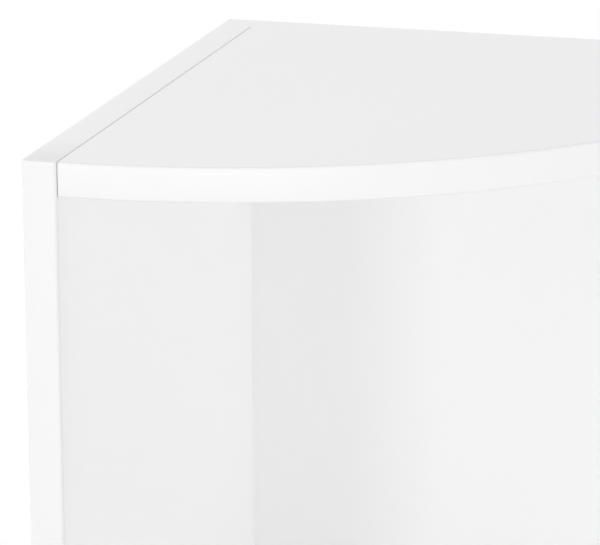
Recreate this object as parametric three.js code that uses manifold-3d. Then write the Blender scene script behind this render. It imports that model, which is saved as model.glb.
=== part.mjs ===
// Tall corner shelf unit of white melamine-faced chipboard, flat-packed and screwed together.
// Two upright panels meet in an L. Six quarter-round boards sit between them and leave five
// open compartments. Every visible cut edge wears a plastic edge band with softened corners.
// Units are millimetres: X to the right along the back panel, Y to the back, Z up.
// The origin is on the floor, below the middle of the unit's square outline.

import * as THREE from 'three';
import { mergeVertices } from 'three/addons/utils/BufferGeometryUtils.js';
import Module from 'manifold-3d';

// Overall size. Width and depth are one value, because the boards are quarter circles.
const side = 310;
const height = 1845;

// Boards
const boardThickness = 16;
const boardNames = ['bottom_board', 'shelf_1', 'shelf_2', 'shelf_3', 'shelf_4', 'top_board'];
const floorGap = 29;
const frontSetback = 1;
const seam = 0.3;

// Edge bands
const bandThickness = 1.3;
const bandRounding = 1.2;
const thinBandThickness = 0.5;
const thinBandRounding = 0.15;
const glueLine = 0.02;

// Connector screws, with a countersunk head, a smooth neck and a core that the thread surrounds
const screwLength = 50;
const headDiameter = 10;
const headRim = 0.8;
const headRecess = 0.3;
const neckDiameter = 7;
const neckLength = 11;
const coreDiameter = 5;
const tipLength = 3;
const socketAcross = 4;
const socketDepth = 3;
const socketFaces = 6;
const screwFromCorner = 64;
const screwFromFront = 57;

// Wood dowels in the corner joint
const dowelDiameter = 8;
const dowelLength = 30;
const dowelChamfer = 1;
const dowelInBackPanel = 10;

// Nail-in glides under the panels
const glideDiameter = 14;
const glideHeight = 3;
const glideChamfer = 1.5;
const nailDiameter = 1.8;
const nailLength = 11;
const nailPoint = 2;
const glideFromEnd = 20;

// Fits and cuts
const clearance = 0.3;
const endRoom = 1;
const overrun = 2;

// Faces of the round forms
const roundFaces = 12;
const quarterFaces = 24;
const roundingSteps = 3;

// Places that follow from the sizes, measured from the inner corner of the L:
// reach is where the panels end, and panelEnd where their chipboard stops under its band.
const reach = side - boardThickness;
const curveRadius = reach - frontSetback;
const panelEnd = reach - bandThickness - glueLine;
const wallEnd = boardThickness - thinBandThickness - glueLine;
const pitch = (height - boardThickness - floorGap) / (boardNames.length - 1);
const boardHeights = boardNames.map((name, level) => floorGap + level * pitch);
const panelTop = height - thinBandThickness - glueLine;

const wasm = await Module();
wasm.setup();

// Closed mesh of a three.js geometry, ready for cutting
function solid(geometry) {
  const bare = geometry.clone();
  bare.deleteAttribute('normal');
  bare.deleteAttribute('uv');
  const merged = mergeVertices(bare);
  const vertProperties = Float32Array.from(merged.attributes.position.array);
  const triVerts = Uint32Array.from(merged.index.array);
  return new wasm.Manifold(new wasm.Mesh({ numProp: 3, vertProperties, triVerts }));
}

// Geometry of a finished solid, with flat faces
function geometryOf(body) {
  const mesh = body.getMesh();
  const shared = new THREE.BufferGeometry();
  shared.setAttribute('position', new THREE.BufferAttribute(mesh.vertProperties, mesh.numProp));
  shared.setIndex(new THREE.BufferAttribute(mesh.triVerts, 1));
  const flat = shared.toNonIndexed();
  flat.computeVertexNormals();
  return flat;
}

function cut(geometry, tools) {
  const body = tools.reduce((rest, tool) => rest.subtract(solid(tool)), solid(geometry));
  return geometryOf(body);
}

// Box between two opposite corners
function block(low, high) {
  const size = high.map((value, axis) => value - low[axis]);
  const middle = high.map((value, axis) => (value + low[axis]) / 2);
  return new THREE.BoxGeometry(...size).translate(...middle);
}

// Round form from its profile of [radius, distance along the axis]
function round(profile, faces = roundFaces) {
  const points = profile.map(([radius, along]) => new THREE.Vector2(radius, along));
  return new THREE.LatheGeometry(points, faces);
}

// A seat is the place of a round piece: where its axis starts, and which way it points.
const pointRight = new THREE.Euler(0, 0, -Math.PI / 2);
const pointFront = new THREE.Euler(0, 0, Math.PI);
const pointUp = new THREE.Euler(Math.PI / 2, 0, 0);

function seat(x, y, z, direction) {
  return { position: new THREE.Vector3(x, y, z), direction };
}

// The same round form, moved to a seat
function seated(geometry, { position, direction }) {
  const matrix = new THREE.Matrix4().makeRotationFromEuler(direction).setPosition(position);
  return geometry.clone().applyMatrix4(matrix);
}

// Materials
function paint(color, roughness, metalness = 0) {
  return new THREE.MeshStandardMaterial({ color, roughness, metalness });
}

const melamine = () => paint('#eeeeed', 0.45);
const edging = () => paint('#f5f5f4', 0.38);
const zincSteel = () => paint('#b8bbbe', 0.35, 1);
const beech = () => paint('#d9b98c', 0.7);
const whitePlastic = () => paint('#ebebe8', 0.4);

function piece(name, geometry, material) {
  const mesh = new THREE.Mesh(geometry, material);
  mesh.name = name;
  return mesh;
}

function seatedPiece(name, geometry, material, { position, direction }) {
  const mesh = piece(name, geometry, material);
  mesh.position.copy(position);
  mesh.rotation.copy(direction);
  return mesh;
}

// Connector screw. Distances run inwards from the panel's outer face.
const headRadius = headDiameter / 2;
const neckRadius = neckDiameter / 2;
const coreRadius = coreDiameter / 2;
const coneStart = headRecess + headRim;
const coneEnd = coneStart + headRadius - neckRadius;
const neckEnd = coneEnd + neckLength;
const screwEnd = headRecess + screwLength;

function screwGeometry() {
  const shank = round([
    [0, headRecess],
    [headRadius, headRecess],
    [headRadius, coneStart],
    [neckRadius, coneEnd],
    [neckRadius, neckEnd],
    [coreRadius, neckEnd],
    [coreRadius, screwEnd - tipLength],
    [0, screwEnd],
  ]);
  const socketRadius = socketAcross / Math.sqrt(3);
  const socket = round([
    [0, headRecess - overrun],
    [socketRadius, headRecess - overrun],
    [socketRadius, headRecess + socketDepth],
    [0, headRecess + socketDepth],
  ], socketFaces);
  return cut(shank, [socket]);
}

// Stepped hole through the panel, and pilot hole in the edge behind it
const throughHole = round([
  [0, -overrun],
  [headRadius + clearance, -overrun],
  [headRadius + clearance, coneStart],
  [neckRadius + clearance, coneEnd],
  [neckRadius + clearance, boardThickness + overrun],
  [0, boardThickness + overrun],
]);
const pilotHole = round([
  [0, boardThickness - overrun],
  [coreRadius + clearance, boardThickness - overrun],
  [coreRadius + clearance, screwEnd + endRoom],
  [0, screwEnd + endRoom],
]);

// Wood dowel, sunk partly in each panel. Its distances run forward from the joint.
const dowelRadius = dowelDiameter / 2;
const dowelStart = -dowelInBackPanel;
const dowelEnd = dowelLength - dowelInBackPanel;

const dowelGeometry = round([
  [0, dowelStart],
  [dowelRadius - dowelChamfer, dowelStart],
  [dowelRadius, dowelStart + dowelChamfer],
  [dowelRadius, dowelEnd - dowelChamfer],
  [dowelRadius - dowelChamfer, dowelEnd],
  [0, dowelEnd],
]);
const dowelHole = round([
  [0, dowelStart - endRoom],
  [dowelRadius + clearance, dowelStart - endRoom],
  [dowelRadius + clearance, dowelEnd + endRoom],
  [0, dowelEnd + endRoom],
]);

// Glide with its nail, measured up from the floor
const glideRadius = glideDiameter / 2;
const nailRadius = nailDiameter / 2;
const nailEnd = glideHeight + nailLength;

const glideGeometry = round([
  [0, 0],
  [glideRadius - glideChamfer, 0],
  [glideRadius, glideChamfer],
  [glideRadius, glideHeight],
  [nailRadius, glideHeight],
  [nailRadius, nailEnd - nailPoint],
  [0, nailEnd],
]);
const nailHole = round([
  [0, glideHeight - overrun],
  [nailRadius + clearance, glideHeight - overrun],
  [nailRadius + clearance, nailEnd + endRoom],
  [0, nailEnd + endRoom],
]);

// Quarter turn of points round a centre, for the corners of a band's section
function corner(centreX, centreY, radius, startAngle) {
  return Array.from({ length: roundingSteps + 1 }, (unused, step) => {
    const angle = startAngle + (step / roundingSteps) * (Math.PI / 2);
    return [centreX + radius * Math.cos(angle), centreY + radius * Math.sin(angle)];
  });
}

// Section of a band: its flat back lies on zero, and it stands out along the first coordinate.
// The rounding stays inside the band.
function bandSection(thickness, rounding) {
  const radius = Math.min(rounding, thickness - glueLine);
  const low = corner(thickness - radius, radius, radius, -Math.PI / 2);
  const high = corner(thickness - radius, boardThickness - radius, radius, 0);
  return [[0, 0], ...low, ...high, [0, boardThickness]];
}

// Straight band along Z
function straightBand(length, thickness, rounding) {
  const section = bandSection(thickness, rounding).map(([out, across]) => new THREE.Vector2(out, across));
  return new THREE.ExtrudeGeometry(new THREE.Shape(section), { depth: length, bevelEnabled: false });
}

// Quarter of a ring: a full turn of the section, kept where X is positive and Y negative
function curvedBand() {
  const inner = curveRadius - bandThickness;
  const section = bandSection(bandThickness, bandRounding);
  const profile = section.map(([out, across]) => [inner + out, across]);
  const ring = round([...profile, profile[0]], quarterFaces * 4).rotateX(Math.PI / 2);
  const quarter = block([0, -reach, -overrun], [reach, 0, boardThickness + overrun]);
  return geometryOf(solid(ring).intersect(solid(quarter)));
}

// Screws of a quarter-round board, measured from the board's own square corner
const boardMiddle = boardThickness / 2;
const screwFar = curveRadius - screwFromFront;
const boardSeats = {
  left_rear: seat(-seam - boardThickness, -screwFromCorner, boardMiddle, pointRight),
  left_front: seat(-seam - boardThickness, -screwFar, boardMiddle, pointRight),
  back_left: seat(screwFromCorner - seam, boardThickness, boardMiddle, pointFront),
  back_right: seat(screwFar - seam, boardThickness, boardMiddle, pointFront),
};

function quarterBoard() {
  const radius = curveRadius - bandThickness - glueLine;
  const outline = new THREE.Shape();
  outline.moveTo(0, 0);
  outline.lineTo(0, -radius);
  outline.absarc(0, 0, radius, -Math.PI / 2, 0, false);
  outline.closePath();
  const settings = { depth: boardThickness, bevelEnabled: false, curveSegments: quarterFaces / 2 };
  const board = new THREE.ExtrudeGeometry(outline, settings);
  return cut(board, Object.values(boardSeats).map((place) => seated(pilotHole, place)));
}

// Everything below is placed from the inner corner of the L, on the floor.
const shelfUnit = new THREE.Group();
const innerCorner = new THREE.Group();
innerCorner.position.set(boardThickness - side / 2, side / 2 - boardThickness, 0);
shelfUnit.add(innerCorner);

// Corner joint: screws in the middle of each compartment, dowels level with the shelves
const jointX = -boardMiddle;
const compartmentMiddles = boardHeights.slice(0, -1).map((z) => z + (pitch + boardThickness) / 2);
const jointScrewSeats = compartmentMiddles.map((z) => seat(jointX, boardThickness, z, pointFront));
const shelfMiddles = boardHeights.slice(1, -1).map((z) => z + boardMiddle);
const dowelSeats = shelfMiddles.map((z) => seat(jointX, 0, z, pointFront));

// Glides, a little in from the ends of each panel
const glideSeats = {
  back_left: seat(glideFromEnd - boardThickness, boardMiddle, 0, pointUp),
  back_right: seat(reach - glideFromEnd, boardMiddle, 0, pointUp),
  left_rear: seat(jointX, -glideFromEnd, 0, pointUp),
  left_front: seat(jointX, glideFromEnd - reach, 0, pointUp),
};

// Holes of one panel for the screws of every board
function boardScrewHoles(panelSeats) {
  const holes = panelSeats.map((place) => seated(throughHole, place));
  return boardHeights.flatMap((z) => holes.map((hole) => hole.clone().translate(seam, 0, z)));
}

// Back panel, the full width of the unit
function backPanel() {
  const panel = block([-wallEnd, 0, glideHeight], [panelEnd, boardThickness, panelTop]);
  return cut(panel, [
    ...boardScrewHoles([boardSeats.back_left, boardSeats.back_right]),
    ...jointScrewSeats.map((place) => seated(throughHole, place)),
    ...dowelSeats.map((place) => seated(dowelHole, place)),
    ...[glideSeats.back_left, glideSeats.back_right].map((place) => seated(nailHole, place)),
  ]);
}

// Left panel, from the front to the back panel's inner face
function leftPanel() {
  const panel = block([-boardThickness, -panelEnd, glideHeight], [0, 0, panelTop]);
  return cut(panel, [
    ...boardScrewHoles([boardSeats.left_rear, boardSeats.left_front]),
    ...jointScrewSeats.map((place) => seated(pilotHole, place)),
    ...dowelSeats.map((place) => seated(dowelHole, place)),
    ...[glideSeats.left_rear, glideSeats.left_front].map((place) => seated(nailHole, place)),
  ]);
}

innerCorner.add(piece('back_panel', backPanel(), melamine()));
innerCorner.add(piece('left_panel', leftPanel(), melamine()));

// Straight bands on the panels' edges. The upright ones run past the top ones.
function addBand(name, length, thickness, rounding, position, rotation) {
  const band = piece(name, straightBand(length, thickness, rounding), edging());
  band.position.set(...position);
  band.rotation.set(...rotation);
  innerCorner.add(band);
}

const uprightLength = height - glideHeight;
const topBandZ = height - thinBandThickness;

addBand('left_panel_front_band', uprightLength, bandThickness, bandRounding,
  [-boardThickness, bandThickness - reach, glideHeight], [0, 0, -Math.PI / 2]);
addBand('back_panel_right_band', uprightLength, bandThickness, bandRounding,
  [reach - bandThickness, 0, glideHeight], [0, 0, 0]);
addBand('back_panel_left_band', uprightLength, thinBandThickness, thinBandRounding,
  [thinBandThickness - boardThickness, boardThickness, glideHeight], [0, 0, Math.PI]);
addBand('left_panel_top_band', panelEnd, thinBandThickness, thinBandRounding,
  [-boardThickness, -panelEnd, topBandZ], [-Math.PI / 2, 0, -Math.PI / 2]);
addBand('back_panel_top_band', panelEnd + wallEnd, thinBandThickness, thinBandRounding,
  [panelEnd, 0, topBandZ], [0, -Math.PI / 2, 0]);

// Boards, each with its curved band and its four screws
const boardGeometry = quarterBoard();
const curvedBandGeometry = curvedBand();
const screw = screwGeometry();

boardNames.forEach((name, level) => {
  const board = new THREE.Group();
  board.position.set(seam, 0, boardHeights[level]);
  board.add(piece(name, boardGeometry, melamine()));
  board.add(piece(`${name}_edge_band`, curvedBandGeometry, edging()));
  Object.entries(boardSeats).forEach(([place, placeSeat]) => {
    board.add(seatedPiece(`${name}_screw_${place}`, screw, zincSteel(), placeSeat));
  });
  innerCorner.add(board);
});

// Corner joint
jointScrewSeats.forEach((place, index) => {
  innerCorner.add(seatedPiece(`corner_screw_${index + 1}`, screw, zincSteel(), place));
});
dowelSeats.forEach((place, index) => {
  innerCorner.add(seatedPiece(`corner_dowel_${index + 1}`, dowelGeometry, beech(), place));
});

// Glides
Object.entries(glideSeats).forEach(([place, placeSeat]) => {
  innerCorner.add(seatedPiece(`glide_${place}`, glideGeometry, whitePlastic(), placeSeat));
});

export default shelfUnit;
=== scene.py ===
from math import cos, pi, radians, sin

import bmesh
import bpy
from mathutils import Euler, Matrix, Vector


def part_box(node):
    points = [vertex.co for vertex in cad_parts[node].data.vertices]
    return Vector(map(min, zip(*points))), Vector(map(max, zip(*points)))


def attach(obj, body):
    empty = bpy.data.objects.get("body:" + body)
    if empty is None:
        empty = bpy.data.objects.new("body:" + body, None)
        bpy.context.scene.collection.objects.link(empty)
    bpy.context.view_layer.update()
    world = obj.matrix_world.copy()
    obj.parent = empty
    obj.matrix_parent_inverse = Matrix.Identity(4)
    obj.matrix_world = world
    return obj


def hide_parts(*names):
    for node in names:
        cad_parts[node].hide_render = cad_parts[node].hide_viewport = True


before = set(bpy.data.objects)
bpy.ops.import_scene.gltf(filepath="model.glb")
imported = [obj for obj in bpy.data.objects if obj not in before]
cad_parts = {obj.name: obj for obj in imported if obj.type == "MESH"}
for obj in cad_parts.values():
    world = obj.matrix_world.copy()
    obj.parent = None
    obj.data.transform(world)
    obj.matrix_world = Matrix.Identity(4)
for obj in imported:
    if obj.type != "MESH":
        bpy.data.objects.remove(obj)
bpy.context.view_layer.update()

# Upright panels
# Two boards of 16 mm chipboard with white melamine paper pressed on both faces. They are sawn to
# size, drilled from outside, and butted together into the L that stands in the room's corner.
# The cut ends show the pressed chips under a thin white skin.

MM = 0.001
X, Y, Z, REACH = range(4)
NOISE_SPAN = (0.3, 0.7)
MELAMINE_WHITE = (0.905, 0.905, 0.905, 1.0)
PAPER_SKIN = 0.25 * MM
PAPER_ROUGHNESS = (0.40, 0.47)
PAPER_MOTTLE = 350.0 * MM
MOTTLE_SHADE = 0.985
PEARL_SIZE = 0.7 * MM
PEARL_RELIEF = 0.03
FINE_LAYER = 3.2 * MM
CHIP_PALE = (0.56, 0.41, 0.25, 1.0)
CHIP_DARK = (0.23, 0.135, 0.065, 1.0)
CHIP_ROUGHNESS = 0.85
CHIP_RELIEF = 0.2 * MM
CHIPS_PER_METRE = 420.0
FINES_PER_METRE = 1500.0
# The grey that the strips of painted shade mix into a white.
PAINTED_SHADE_GREY = (0.30, 0.30, 0.30, 1.0)
# Painted shade on the left panel, darker towards its front edge: how far in it starts, and how deep it
# gets at the edge.
FRONT_PAINTED_SHADES = ((40.0 * MM, 0.03), (12.0 * MM, 0.04))


def new_material(name):
    material = bpy.data.materials.new(name)
    material.use_nodes = True
    tree = material.node_tree
    return material, tree, tree.nodes["Principled BSDF"]


def add_node(tree, kind, **values):
    """A node with its options and unlinked inputs set by name."""
    node = tree.nodes.new(kind)
    for key, value in values.items():
        if hasattr(node, key):
            setattr(node, key, value)
        else:
            node.inputs[key.replace("_", " ")].default_value = value
    return node


def feed(tree, value, socket):
    """Link an output to the socket, or set the socket to a plain value."""
    if hasattr(value, "node"):
        tree.links.new(value, socket)
    else:
        socket.default_value = value


def noise(tree, place, size, detail=2.0, stretch=(1.0, 1.0, 1.0)):
    """Noise whose features are about that size in metres, stretched along each axis."""
    mapping = add_node(tree, "ShaderNodeMapping")
    mapping.inputs["Scale"].default_value = [1.0 / (size * s) for s in stretch]
    texture = add_node(tree, "ShaderNodeTexNoise", Scale=1.0, Detail=detail)
    tree.links.new(place, mapping.inputs["Vector"])
    tree.links.new(mapping.outputs["Vector"], texture.inputs["Vector"])
    return texture.outputs["Fac"]


def arithmetic(tree, operation, first, second):
    node = add_node(tree, "ShaderNodeMath", operation=operation)
    feed(tree, first, node.inputs[0])
    feed(tree, second, node.inputs[1])
    return node.outputs["Value"]


def mixed(tree, factor, first, second):
    """A colour between two colours."""
    node = add_node(tree, "ShaderNodeMix", data_type="RGBA")
    tree.links.new(factor, node.inputs["Factor"])
    feed(tree, first, node.inputs[6])
    feed(tree, second, node.inputs[7])
    return node.outputs[2]


def between(tree, factor, first, second):
    """A number between two numbers."""
    node = add_node(tree, "ShaderNodeMix", data_type="FLOAT")
    tree.links.new(factor, node.inputs["Factor"])
    feed(tree, first, node.inputs[2])
    feed(tree, second, node.inputs[3])
    return node.outputs[0]


def scaled(tree, value, low, high, to_low=0.0, to_high=1.0):
    """The value carried from one range to another, and held at the ends."""
    node = add_node(tree, "ShaderNodeMapRange")
    tree.links.new(value, node.inputs["Value"])
    limits = (("From Min", low), ("From Max", high), ("To Min", to_low), ("To Max", to_high))
    for name, limit in limits:
        node.inputs[name].default_value = limit
    return node.outputs["Result"]


def bump(tree, height, depth):
    node = add_node(tree, "ShaderNodeBump", Distance=depth, Strength=1.0)
    tree.links.new(height, node.inputs["Height"])
    return node.outputs["Normal"]


def coordinates(tree, corner=(0.0, 0.0)):
    """The point on the object, and its X, Y, Z and level distance from an upright corner."""
    place = add_node(tree, "ShaderNodeTexCoord").outputs["Object"]
    parts = add_node(tree, "ShaderNodeSeparateXYZ")
    tree.links.new(place, parts.inputs["Vector"])
    x, y, z = parts.outputs
    level = add_node(tree, "ShaderNodeCombineXYZ")
    tree.links.new(arithmetic(tree, "SUBTRACT", x, corner[0]), level.inputs["X"])
    tree.links.new(arithmetic(tree, "SUBTRACT", y, corner[1]), level.inputs["Y"])
    reach = add_node(tree, "ShaderNodeVectorMath", operation="LENGTH")
    tree.links.new(level.outputs["Vector"], reach.inputs[0])
    return place, (x, y, z, reach.outputs["Value"])


def mottled(tree, place, white, size, detail):
    """The white, a trace darker in broad patches."""
    patches = scaled(tree, noise(tree, place, size, detail), *NOISE_SPAN)
    off_white = tuple(MOTTLE_SHADE * c for c in white[:3]) + (1.0,)
    return mixed(tree, patches, white, off_white)


def with_painted_shade(tree, parts, colour, strips):
    """The colour with soft strips of painted shade.

    Each strip is a coordinate, where along it the shade starts and is deepest, and how deep it gets.
    """
    for along, start, deepest, amount in strips:
        grey = scaled(tree, parts[along], start, deepest, 0.0, amount)
        colour = mixed(tree, grey, colour, PAINTED_SHADE_GREY)
    return colour


def chip_tones(tree, place, per_metre):
    """A tone of its own for each chip, from 0 to 1."""
    cells = add_node(tree, "ShaderNodeTexVoronoi", Scale=per_metre)
    tree.links.new(place, cells.inputs["Vector"])
    tones = add_node(tree, "ShaderNodeSeparateColor")
    tree.links.new(cells.outputs["Color"], tones.inputs["Color"])
    return tones.outputs["Red"]


def faced_chipboard(name, axis, low, high, strips=(), corner=(0.0, 0.0)):
    """White melamine on both faces, and chips where a cut shows the inside of the board.

    axis is the board's thin direction, and low and high are its two faces along it.
    """
    material, tree, shader = new_material(name)
    place, parts = coordinates(tree, corner)
    from_low = arithmetic(tree, "SUBTRACT", parts[axis], low)
    from_high = arithmetic(tree, "SUBTRACT", high, parts[axis])
    depth = arithmetic(tree, "MINIMUM", from_low, from_high)
    inside = arithmetic(tree, "GREATER_THAN", depth, PAPER_SKIN)
    coarse = arithmetic(tree, "GREATER_THAN", depth, FINE_LAYER)

    paper = mottled(tree, place, MELAMINE_WHITE, PAPER_MOTTLE, detail=3.0)
    # Strips of painted shade over the white paper.
    paper = with_painted_shade(tree, parts, paper, strips)
    fines = chip_tones(tree, place, FINES_PER_METRE)
    chips = chip_tones(tree, place, CHIPS_PER_METRE)
    tone = between(tree, coarse, fines, chips)
    wood = mixed(tree, tone, CHIP_PALE, CHIP_DARK)
    tree.links.new(mixed(tree, inside, paper, wood), shader.inputs["Base Color"])

    pearl = noise(tree, place, PEARL_SIZE, detail=1.0)
    paper_roughness = scaled(tree, pearl, *NOISE_SPAN, *PAPER_ROUGHNESS)
    roughness = between(tree, inside, paper_roughness, CHIP_ROUGHNESS)
    tree.links.new(roughness, shader.inputs["Roughness"])

    relief = between(tree, inside, arithmetic(tree, "MULTIPLY", pearl, PEARL_RELIEF), tone)
    tree.links.new(bump(tree, relief, CHIP_RELIEF), shader.inputs["Normal"])
    return material


def dress(node, material):
    """A new finish for a CAD part that keeps its shape."""
    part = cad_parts[node]
    part.data.materials.clear()
    part.data.materials.append(material)


left_low, left_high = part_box("left_panel")
back_low, back_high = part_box("back_panel")
# The left panel gets painted shade along its front edge.
front_painted_shade = [(Y, left_low.y + width, left_low.y, amount) for width, amount in FRONT_PAINTED_SHADES]
dress("left_panel", faced_chipboard("left_panel_melamine", X, left_low.x, left_high.x, front_painted_shade))
dress("back_panel", faced_chipboard("back_panel_melamine", Y, back_low.y, back_high.y))

# Straight edge bands
# White plastic strips, glued hot on the panels' cut edges. The front ones are thick and their
# corners are rounded by a cutter, which leaves faint marks along the edge. The thin ones close
# the panels' tops and the back panel's wall side.

BAND_WHITE = (0.838, 0.838, 0.838, 1.0)
THIN_BAND_WHITE = (0.90, 0.90, 0.90, 1.0)
BAND_ROUGHNESS = (0.33, 0.41)
BAND_MOTTLE = 250.0 * MM
MARK_SIZE = 0.35 * MM
MARK_STRETCH = 120.0
MARK_DEPTH = 0.004 * MM
THICK_ROUNDING = 1.2 * MM
THIN_ROUNDING = 0.08 * MM
CORNER_STEPS = 8
SHARP_ANGLE = radians(35.0)
# Painted shade on the inner rounded corner of the left front band: where it starts and is deepest,
# measured in from the edge, and how deep.
CORNER_PAINTED_SHADE = (1.6 * MM, 0.0, 0.18)
# Painted shade along the seam on top of the left panel, by the boards.
TOP_SEAM_PAINTED_SHADE = (1.1 * MM, 0.4 * MM, 0.16)
# Painted shade, darker towards the front end of the left panel's top band.
TOP_END_PAINTED_SHADES = ((45.0 * MM, 25.0 * MM, 0.07), (20.0 * MM, 8.0 * MM, 0.08))


def banding(name, along, white=BAND_WHITE, strips=()):
    """Satin edge-band plastic, with faint cutter marks that run along the given axes; the strips are
    painted shade.
    """
    material, tree, shader = new_material(name)
    place, parts = coordinates(tree)
    stretch = [MARK_STRETCH if axis in along else 1.0 for axis in (X, Y, Z)]
    marks = noise(tree, place, MARK_SIZE, stretch=stretch)
    colour = mottled(tree, place, white, BAND_MOTTLE, detail=2.0)
    # Strips of painted shade over the band's white.
    tree.links.new(with_painted_shade(tree, parts, colour, strips), shader.inputs["Base Color"])
    tree.links.new(scaled(tree, marks, *NOISE_SPAN, *BAND_ROUGHNESS), shader.inputs["Roughness"])
    tree.links.new(bump(tree, marks, MARK_DEPTH), shader.inputs["Normal"])
    return material


def quarter_turn(centre_x, centre_y, radius, start):
    angles = [start + pi / 2 * step / CORNER_STEPS for step in range(CORNER_STEPS + 1)]
    return [(centre_x + radius * cos(a), centre_y + radius * sin(a)) for a in angles]


def band_section(thickness, width, rounding):
    """Section of a band: how far it stands out from the board's edge, and where across it."""
    centre = thickness - rounding
    low = quarter_turn(centre, rounding, rounding, -pi / 2)
    high = quarter_turn(centre, width - rounding, rounding, 0.0)
    return [(0.0, 0.0)] + low + high + [(0.0, width)]


def skin(maker, rings):
    """Faces between neighbouring rings of vertices, each ring closed."""
    for lower, upper in zip(rings, rings[1:]):
        pairs = list(zip(lower, upper))
        for (a, b), (c, d) in zip(pairs, pairs[1:] + pairs[:1]):
            maker.faces.new((a, c, d, b))


def capped(maker, rings):
    """The skin over the rings, closed at both ends."""
    skin(maker, rings)
    maker.faces.new(rings[0])
    maker.faces.new(rings[-1])
    return maker


def finished_mesh(name, maker, material):
    """A mesh from a closed form, smooth between its sharp corners."""
    bmesh.ops.recalc_face_normals(maker, faces=maker.faces)
    mesh = bpy.data.meshes.new(name)
    maker.to_mesh(mesh)
    maker.free()
    mesh.shade_smooth()
    mesh.set_sharp_from_angle(angle=SHARP_ANGLE)
    mesh.materials.append(material)
    return mesh


def shown_piece(name, mesh, node):
    """A finished piece, which stands for its CAD node."""
    piece = bpy.data.objects.new(name, mesh)
    bpy.context.scene.collection.objects.link(piece)
    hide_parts(node)
    return piece


def straight_band(node, out, thickness_axis, along, rounding, look):
    """A band in its CAD node's box, which runs along one axis.

    It stands out from the board's edge along thickness_axis, towards its high end where out is 1
    and its low end where out is -1.
    """
    low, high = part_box(node)
    across = X + Y + Z - thickness_axis - along
    edge = low[thickness_axis] if out > 0 else high[thickness_axis]
    thickness = high[thickness_axis] - low[thickness_axis]
    section = band_section(thickness, high[across] - low[across], rounding)
    maker = bmesh.new()
    rings = []
    for end in (low[along], high[along]):
        ring = []
        for stand, side in section:
            spot = Vector()
            spot[along] = end
            spot[across] = low[across] + side
            spot[thickness_axis] = edge + out * stand
            ring.append(maker.verts.new(spot))
        rings.append(ring)
    name = node.replace("_band", "_edging")
    piece = shown_piece(name, finished_mesh(name, capped(maker, rings), look), node)
    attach(piece, "root")


def offset_painted_shade(axis, edge, way, grey):
    """A strip of painted shade by an edge: where it starts and is deepest, measured from there, and how
    deep.
    """
    start, deepest, amount = grey
    return axis, edge + way * start, edge + way * deepest, amount


# Painted shade on the left front band's corner, and on the left top band's seam and front end.
corner_painted_shade = [offset_painted_shade(X, left_high.x, -1, CORNER_PAINTED_SHADE)]
top_painted_shade = [offset_painted_shade(X, left_high.x, -1, TOP_SEAM_PAINTED_SHADE)]
top_painted_shade += [offset_painted_shade(Y, left_low.y, 1, grey) for grey in TOP_END_PAINTED_SHADES]
left_front_look = banding("left_front_edging", along=(Z,), strips=corner_painted_shade)
right_front_look = banding("right_front_edging", along=(Z,))
wall_side_look = banding("wall_side_edging", along=(Z,), white=THIN_BAND_WHITE)
left_top_look = banding("left_top_edging", along=(Y,), white=THIN_BAND_WHITE, strips=top_painted_shade)
back_top_look = banding("back_top_edging", along=(X,), white=THIN_BAND_WHITE)
straight_band("left_panel_front_band", -1, Y, Z, THICK_ROUNDING, left_front_look)
straight_band("back_panel_right_band", 1, X, Z, THICK_ROUNDING, right_front_look)
straight_band("back_panel_left_band", -1, X, Z, THIN_ROUNDING, wall_side_look)
straight_band("left_panel_top_band", 1, Z, Y, THIN_ROUNDING, left_top_look)
straight_band("back_panel_top_band", 1, Z, X, THIN_ROUNDING, back_top_look)

# Corner dowels
# Beech pegs with glue flutes, tapped into blind holes of both panels. They keep the panels' edges
# flush while the screws pull the corner tight.

BEECH = (0.62, 0.43, 0.24, 1.0)
BEECH_PORE = (0.46, 0.29, 0.15, 1.0)
BEECH_ROUGHNESS = 0.7
BEECH_GRAIN = 0.4 * MM
BEECH_STRETCH = (1.0, 1.0, 18.0)
BEECH_RELIEF = 0.03 * MM
FLUTES = 14
FLUTE_DEPTH = 0.35 * MM
SIDES_PER_FLUTE = 8
DOWEL_CHAMFER = 1.0 * MM
DOWEL_SPIN = 0.7


def ring_form(rings, sides):
    """A closed form round its own Z: each ring is a height and a radius or a radius by angle."""
    maker = bmesh.new()
    loops = []
    for height, radius in rings:
        loop = []
        for side in range(sides):
            angle = 2 * pi * side / sides
            r = radius(angle) if callable(radius) else radius
            loop.append(maker.verts.new((r * cos(angle), r * sin(angle), height)))
        loops.append(loop)
    return capped(maker, loops)


def seat_of(node, toward):
    """Where a round piece starts on its axis, and the turn that points it along the axis."""
    low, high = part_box(node)
    middle = (low + high) / 2
    if toward == "right":
        return Vector((low.x, middle.y, middle.z)), Euler((0.0, pi / 2, 0.0))
    if toward == "front":
        return Vector((middle.x, high.y, middle.z)), Euler((pi / 2, 0.0, 0.0))
    return Vector((middle.x, middle.y, low.z)), Euler((0.0, 0.0, 0.0))


def seat(piece, node, toward, spin=0.0):
    """Put a round piece in its CAD node's place, turned on its own axis by the spin."""
    place, turn = seat_of(node, toward)
    turned = turn.to_matrix().to_4x4() @ Matrix.Rotation(spin, 4, "Z")
    piece.matrix_world = Matrix.Translation(place) @ turned
    bpy.context.view_layer.update()
    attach(piece, "root")


def beech_wood():
    material, tree, shader = new_material("beech")
    place = add_node(tree, "ShaderNodeTexCoord").outputs["Object"]
    grain = noise(tree, place, BEECH_GRAIN, detail=4.0, stretch=BEECH_STRETCH)
    tree.links.new(mixed(tree, grain, BEECH, BEECH_PORE), shader.inputs["Base Color"])
    tree.links.new(bump(tree, grain, BEECH_RELIEF), shader.inputs["Normal"])
    shader.inputs["Roughness"].default_value = BEECH_ROUGHNESS
    return material


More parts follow.
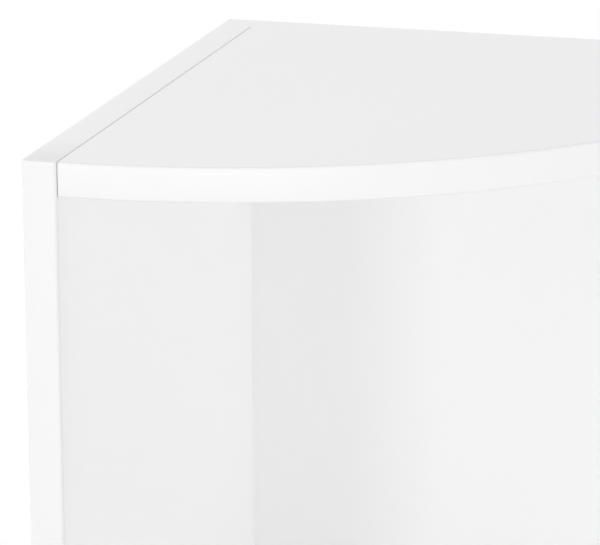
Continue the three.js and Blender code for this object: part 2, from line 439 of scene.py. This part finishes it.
def dowel_form(length, radius):
    def fluted(angle):
        return radius - FLUTE_DEPTH * max(0.0, cos(FLUTES * angle)) ** 2

    tip = radius - DOWEL_CHAMFER
    rings = [(0.0, tip), (DOWEL_CHAMFER, fluted), (length - DOWEL_CHAMFER, fluted), (length, tip)]
    return ring_form(rings, FLUTES * SIDES_PER_FLUTE)


beech = beech_wood()
dowel_nodes = sorted(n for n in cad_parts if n.startswith("corner_dowel"))
for number, node in enumerate(dowel_nodes, 1):
    low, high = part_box(node)
    name = f"fluted_dowel_{number}"
    mesh = finished_mesh(name, dowel_form(high.y - low.y, (high.z - low.z) / 2), beech)
    dowel = shown_piece(name, mesh, node)
    seat(dowel, node, "front", spin=number * DOWEL_SPIN)

# Connector screws
# Zinc-plated steel, one piece, 7 x 50 mm: a flat countersunk head with a hex socket, a smooth neck
# in the panel, and a coarse thread that bites into the chips of the board behind.

HEAD_RIM = 0.8 * MM
HEAD_RADIUS = 5.0 * MM
EASED = 0.25 * MM
SOCKET_ACROSS = 4.0 * MM
SOCKET_DEPTH = 3.0 * MM
SOCKET_POINT_DEPTH = 0.6 * MM
SOCKET_POINT_RADIUS = 0.2 * MM
NECK_RADIUS = 3.5 * MM
NECK_END = 13.3 * MM
NECK_STEP = 0.4 * MM
CORE_RADIUS = 2.5 * MM
THREAD_RADIUS = 3.4 * MM
THREAD_PITCH = 3.0 * MM
THREAD_FLANK = 0.2
SCREW_LENGTH = 50.0 * MM
TIP_LENGTH = 3.0 * MM
TIP_RADIUS = 0.4 * MM
THREAD_END = SCREW_LENGTH - TIP_LENGTH
SCREW_SIDES = 36
RINGS_PER_PITCH = 10
SCREW_SPIN = 2.4
ZINC_DULL = (0.52, 0.54, 0.57, 1.0)
ZINC_BRIGHT = (0.70, 0.71, 0.72, 1.0)
ZINC_BLOOM = 1.5 * MM
ZINC_ROUGHNESS = (0.24, 0.38)


def hexagon(across):
    """Radius of a hexagon by angle, from its size across flats."""
    return lambda angle: across / 2 / cos((angle + pi / 6) % (pi / 3) - pi / 6)


def thread(height):
    """Radius of the threaded shank by angle at one height, fading out at both ends."""
    fade = min(1.0, (height - NECK_END) / THREAD_PITCH, (THREAD_END - height) / THREAD_PITCH)

    def radius(angle):
        turn = (height / THREAD_PITCH - angle / (2 * pi)) % 1.0
        ridge = max(0.0, 1.0 - abs(turn - 0.5) / THREAD_FLANK)
        return CORE_RADIUS + (THREAD_RADIUS - CORE_RADIUS) * ridge * max(0.0, fade)

    return radius


def screw_form():
    cone_end = HEAD_RIM + HEAD_RADIUS - NECK_RADIUS
    steps = int((THREAD_END - NECK_END) / THREAD_PITCH * RINGS_PER_PITCH)
    shank = [NECK_END + (THREAD_END - NECK_END) * k / steps for k in range(1, steps + 1)]
    rings = [
        (SOCKET_DEPTH + SOCKET_POINT_DEPTH, SOCKET_POINT_RADIUS),
        (SOCKET_DEPTH, hexagon(SOCKET_ACROSS)),
        (EASED, hexagon(SOCKET_ACROSS)),
        (0.0, hexagon(SOCKET_ACROSS + 2 * EASED)),
        (0.0, HEAD_RADIUS - EASED),
        (EASED, HEAD_RADIUS),
        (HEAD_RIM, HEAD_RADIUS),
        (cone_end, NECK_RADIUS),
        (NECK_END - NECK_STEP, NECK_RADIUS),
        (NECK_END, CORE_RADIUS),
    ]
    rings += [(height, thread(height)) for height in shank]
    rings += [(SCREW_LENGTH, TIP_RADIUS)]
    return ring_form(rings, SCREW_SIDES)


def zinc_steel():
    material, tree, shader = new_material("zinc_steel")
    place = add_node(tree, "ShaderNodeTexCoord").outputs["Object"]
    bloom = noise(tree, place, ZINC_BLOOM, detail=4.0)
    tree.links.new(mixed(tree, bloom, ZINC_DULL, ZINC_BRIGHT), shader.inputs["Base Color"])
    tree.links.new(scaled(tree, bloom, *NOISE_SPAN, *ZINC_ROUGHNESS), shader.inputs["Roughness"])
    shader.inputs["Metallic"].default_value = 1.0
    return material


steel = zinc_steel()
screw = finished_mesh("connector_screw", screw_form(), steel)
screw_nodes = sorted(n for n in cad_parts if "screw" in n)
for number, node in enumerate(screw_nodes):
    piece = shown_piece(node.replace("screw", "connector"), screw, node)
    seat(piece, node, "right" if "_left_" in node else "front", spin=number * SCREW_SPIN)

# Quarter-round boards
# Six alike: 16 mm melamine-faced chipboard, sawn to a quarter circle. Their two straight edges
# meet the panels and stay raw, so the chips show only inside the joints.

# Painted shade on each board's top: its width, and how deep it gets by the left panel's seam and by the
# band's joint.
PAINTED_SHADE_WIDTH = 0.7 * MM
LEFT_SEAM_SHADE = 0.16
BAND_JOINT_SHADE = 0.12

board_names = sorted(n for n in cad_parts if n.endswith("_board") or n[:-1] == "shelf_")
for name in board_names:
    low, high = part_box(name)
    reach = high.x - low.x
    # Painted shade in thin strips on the board's top, along its seam with the left panel and its joint
    # with the band.
    painted_joint_shades = (
        (X, low.x + PAINTED_SHADE_WIDTH, low.x, LEFT_SEAM_SHADE),
        (REACH, reach - PAINTED_SHADE_WIDTH, reach, BAND_JOINT_SHADE),
    )
    corner = (low.x, high.y)
    dress(name, faced_chipboard(f"{name}_melamine", Z, low.z, high.z, painted_joint_shades, corner))

# Curved edge bands
# The same plastic strip as on the panels' fronts, bent hot round each quarter circle. Behind, it
# follows the board's edge, and its front is a true arc with both corners rounded.

CHORDS = 24
STEPS_PER_CHORD = 5
# Depth of the painted shade along the top of each curved band.
UPPER_JOINT_SHADE = 0.12


def curved_band(name, board, node, look):
    low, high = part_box(node)
    outer = high.x - low.x
    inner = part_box(board)[1].x - low.x
    section = band_section(outer - inner, high.z - low.z, THICK_ROUNDING)
    chord = pi / 2 / CHORDS
    maker = bmesh.new()
    rings = []
    for step in range(CHORDS * STEPS_PER_CHORD + 1):
        angle = chord * step / STEPS_PER_CHORD
        off_middle = chord * (step % STEPS_PER_CHORD / STEPS_PER_CHORD - 0.5)
        flat_back = inner * cos(chord / 2) / cos(off_middle)
        ring = []
        for stand, side in section:
            radius = flat_back if stand == 0.0 else inner + stand
            spot = (low.x + radius * cos(angle), high.y - radius * sin(angle), low.z + side)
            ring.append(maker.verts.new(spot))
        rings.append(ring)
    piece = shown_piece(name, finished_mesh(name, capped(maker, rings), look), node)
    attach(piece, "root")


for board in board_names:
    node = f"{board}_edge_band"
    name = f"{board}_edging"
    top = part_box(node)[1].z
    # Painted shade along the band's top rounding, where it meets the board.
    upper_painted_shade = [(Z, top - THICK_ROUNDING, top, UPPER_JOINT_SHADE)]
    curved_band(name, board, node, banding(name, along=(X, Y), strips=upper_painted_shade))

# Nail-in glides
# White moulded plastic pads under the panels' ends, each with a steel nail moulded in, which is
# knocked up into the chipboard. They lift the raw lower edges off the floor.

GLIDE_WHITE = (0.74, 0.74, 0.72, 1.0)
GLIDE_OFF_WHITE = (0.70, 0.70, 0.68, 1.0)
GLIDE_ROUGHNESS = 0.42
GLIDE_GRAIN = 0.5 * MM
GLIDE_RELIEF = 0.01 * MM
PAD_HEIGHT = 3.0 * MM
PAD_ROUNDING = 1.4 * MM
PAD_CHAMFER = 0.3 * MM
PAD_SIDES = 48
NAIL_RADIUS = 0.9 * MM
NAIL_POINT = 2.0 * MM
NAIL_TIP_RADIUS = 0.15 * MM
NAIL_SIDES = 20


def glide_plastic():
    material, tree, shader = new_material("glide_plastic")
    place = add_node(tree, "ShaderNodeTexCoord").outputs["Object"]
    grain = noise(tree, place, GLIDE_GRAIN)
    tree.links.new(mixed(tree, grain, GLIDE_WHITE, GLIDE_OFF_WHITE), shader.inputs["Base Color"])
    tree.links.new(bump(tree, grain, GLIDE_RELIEF), shader.inputs["Normal"])
    shader.inputs["Roughness"].default_value = GLIDE_ROUGHNESS
    return material


def pad_form(radius):
    """A round pad with a rounded foot and a small chamfer on top."""
    quarter = quarter_turn(0.0, 0.0, PAD_ROUNDING, 0.0)
    foot = sorted((PAD_ROUNDING - h, radius - PAD_ROUNDING + r) for r, h in quarter)
    top = [(PAD_HEIGHT - PAD_CHAMFER, radius), (PAD_HEIGHT, radius - PAD_CHAMFER)]
    return ring_form(foot + top, PAD_SIDES)


def nail_form(point):
    """The nail above its pad, up to the height of its point."""
    rings = [(PAD_HEIGHT, NAIL_RADIUS), (point - NAIL_POINT, NAIL_RADIUS), (point, NAIL_TIP_RADIUS)]
    return ring_form(rings, NAIL_SIDES)


plastic = glide_plastic()
for node in sorted(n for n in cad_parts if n.startswith("glide_")):
    low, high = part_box(node)
    pad_mesh = finished_mesh(f"{node}_pad", pad_form((high.x - low.x) / 2), plastic)
    pad = shown_piece(f"{node}_pad", pad_mesh, node)
    seat(pad, node, "up")
    nail_mesh = finished_mesh(f"{node}_nail", nail_form(high.z - low.z), steel)
    nail = shown_piece(f"{node}_nail", nail_mesh, node)
    seat(nail, node, "up")

# Studio
# A plain pale floor that keeps the unit's shadow and fades to white, and an even white sky. Soft
# lamps stand far off, level with the upper shelves, so that their light reaches into the corner.
# Weaker ones hang overhead and high up in front. The right one leaves no sheen on the bands.

FLOOR_RADIUS = 60.0
FLOOR_SIDES = 96
FLOOR_PAINT = (0.9, 0.9, 0.9, 1.0)
FLOOR_ROUGHNESS = 0.9
FLOOR_FADE = (0.7, 2.4)
SKY_WHITE = (1.0, 1.0, 1.0, 1.0)
SKY_STRENGTH = 0.6
LAMP_DISTANCE = 8.0
LAMP_HEIGHT = 1.6
LAMP_TALL = 1.0
HIGH_AIM = Vector((0.0, 0.0, 1.7))
HIGH_RISE = 30.0
HIGH_DISTANCE = 3.5
HIGH_SIZE = 1.4
OVERHEAD_HEIGHT = 4.2
OVERHEAD_SIZE = 2.0
OVERHEAD_POWER = 12.3

# Name, bearing in degrees round from the unit's front to its right, width and power
LAMPS = (
    ("front_left_lamp", -15.0, 1.2, 61.5),
    ("front_lamp", 15.0, 4.0, 98.3),
    ("right_lamp", 88.0, 1.2, 139.6),
    ("rear_lamp", -135.0, 2.4, 70.0),
)
FILL_LAMP = "right_lamp"

# Name, bearing and power
HIGH_LAMPS = (
    ("high_left_lamp", -60.0, 18.2),
    ("high_front_left_lamp", -30.0, 8.5),
    ("high_front_lamp", 0.0, 4.9),
)


def seen_itself(tree):
    """1 for what the camera sees, also by reflection or through glass, and 0 for the light it gives."""
    rays = add_node(tree, "ShaderNodeLightPath").outputs
    seen = arithmetic(tree, "MAXIMUM", rays["Is Camera Ray"], rays["Is Glossy Ray"])
    return arithmetic(tree, "MAXIMUM", seen, rays["Is Transmission Ray"])


def floor_finish():
    """Pale paint near the unit, which fades to the background's white further off."""
    material, tree, shader = new_material("floor_paint")
    shader.inputs["Base Color"].default_value = FLOOR_PAINT
    shader.inputs["Roughness"].default_value = FLOOR_ROUGHNESS
    distance = add_node(tree, "ShaderNodeVectorMath", operation="LENGTH")
    tree.links.new(add_node(tree, "ShaderNodeTexCoord").outputs["Object"], distance.inputs[0])
    fade = scaled(tree, distance.outputs["Value"], *FLOOR_FADE)
    white = add_node(tree, "ShaderNodeEmission")
    blend = add_node(tree, "ShaderNodeMixShader")
    tree.links.new(arithmetic(tree, "MULTIPLY", fade, seen_itself(tree)), blend.inputs["Fac"])
    tree.links.new(shader.outputs["BSDF"], blend.inputs[1])
    tree.links.new(white.outputs["Emission"], blend.inputs[2])
    tree.links.new(blend.outputs["Shader"], tree.nodes["Material Output"].inputs["Surface"])
    return material


def direction(bearing, rise=0.0):
    """From the unit outwards: degrees round from its front to the right, and degrees up."""
    level = cos(radians(rise))
    return Vector((level * sin(radians(bearing)), -level * cos(radians(bearing)), sin(radians(rise))))


def area_lamp(name, place, away, wide, tall, power):
    """A soft rectangular lamp that shines the opposite way to away."""
    light = bpy.data.lights.new(name, "AREA")
    light.shape = "RECTANGLE"
    light.size = wide
    light.size_y = tall
    light.energy = power
    lamp = bpy.data.objects.new(name, light)
    lamp.location = place
    lamp.rotation_euler = away.to_track_quat("Z", "Y").to_euler()
    lamp.visible_camera = False
    lamp.visible_glossy = name != FILL_LAMP
    bpy.context.scene.collection.objects.link(lamp)


maker = bmesh.new()
bmesh.ops.create_circle(maker, cap_ends=True, segments=FLOOR_SIDES, radius=FLOOR_RADIUS)
floor_mesh = bpy.data.meshes.new("floor")
maker.to_mesh(floor_mesh)
maker.free()
floor_mesh.materials.append(floor_finish())
floor = bpy.data.objects.new("floor", floor_mesh)
bpy.context.scene.collection.objects.link(floor)

world = bpy.data.worlds.new("studio")
world.use_nodes = True
bpy.context.scene.world = world
sky = world.node_tree.nodes["Background"]
sky.inputs["Color"].default_value = SKY_WHITE
sky_strength = scaled(world.node_tree, seen_itself(world.node_tree), 0.0, 1.0, SKY_STRENGTH, 1.0)
world.node_tree.links.new(sky_strength, sky.inputs["Strength"])

for name, bearing, wide, power in LAMPS:
    away = direction(bearing)
    place = LAMP_DISTANCE * away + Vector((0.0, 0.0, LAMP_HEIGHT))
    area_lamp(name, place, away, wide, LAMP_TALL, power)
for name, bearing, power in HIGH_LAMPS:
    away = direction(bearing, HIGH_RISE)
    area_lamp(name, HIGH_AIM + HIGH_DISTANCE * away, away, HIGH_SIZE, HIGH_SIZE, power)
upward = Vector((0.0, 0.0, 1.0))
area_lamp("overhead_lamp", OVERHEAD_HEIGHT * upward, upward, OVERHEAD_SIZE, OVERHEAD_SIZE, OVERHEAD_POWER)

# Camera
# At the photograph's angle: above the top board and a little to the right of the front, with a
# long lens that takes in the unit's upper left part.

SENSOR_WIDTH = 36.0
LENS = 225.31
CLIP_END = 200.0
CAMERA_PLACE = (0.4014, -1.6482, 2.2410)
CAMERA_TURN = (radians(74.280), radians(0.202), radians(16.011))

camera_data = bpy.data.cameras.new("camera")
camera_data.sensor_fit = "HORIZONTAL"
camera_data.sensor_width = SENSOR_WIDTH
camera_data.lens = LENS
camera_data.clip_end = CLIP_END
camera = bpy.data.objects.new("camera", camera_data)
camera.location = CAMERA_PLACE
camera.rotation_euler = CAMERA_TURN
bpy.context.scene.collection.objects.link(camera)
bpy.context.scene.camera = camera
bpy.context.scene.view_settings.view_transform = "Standard"
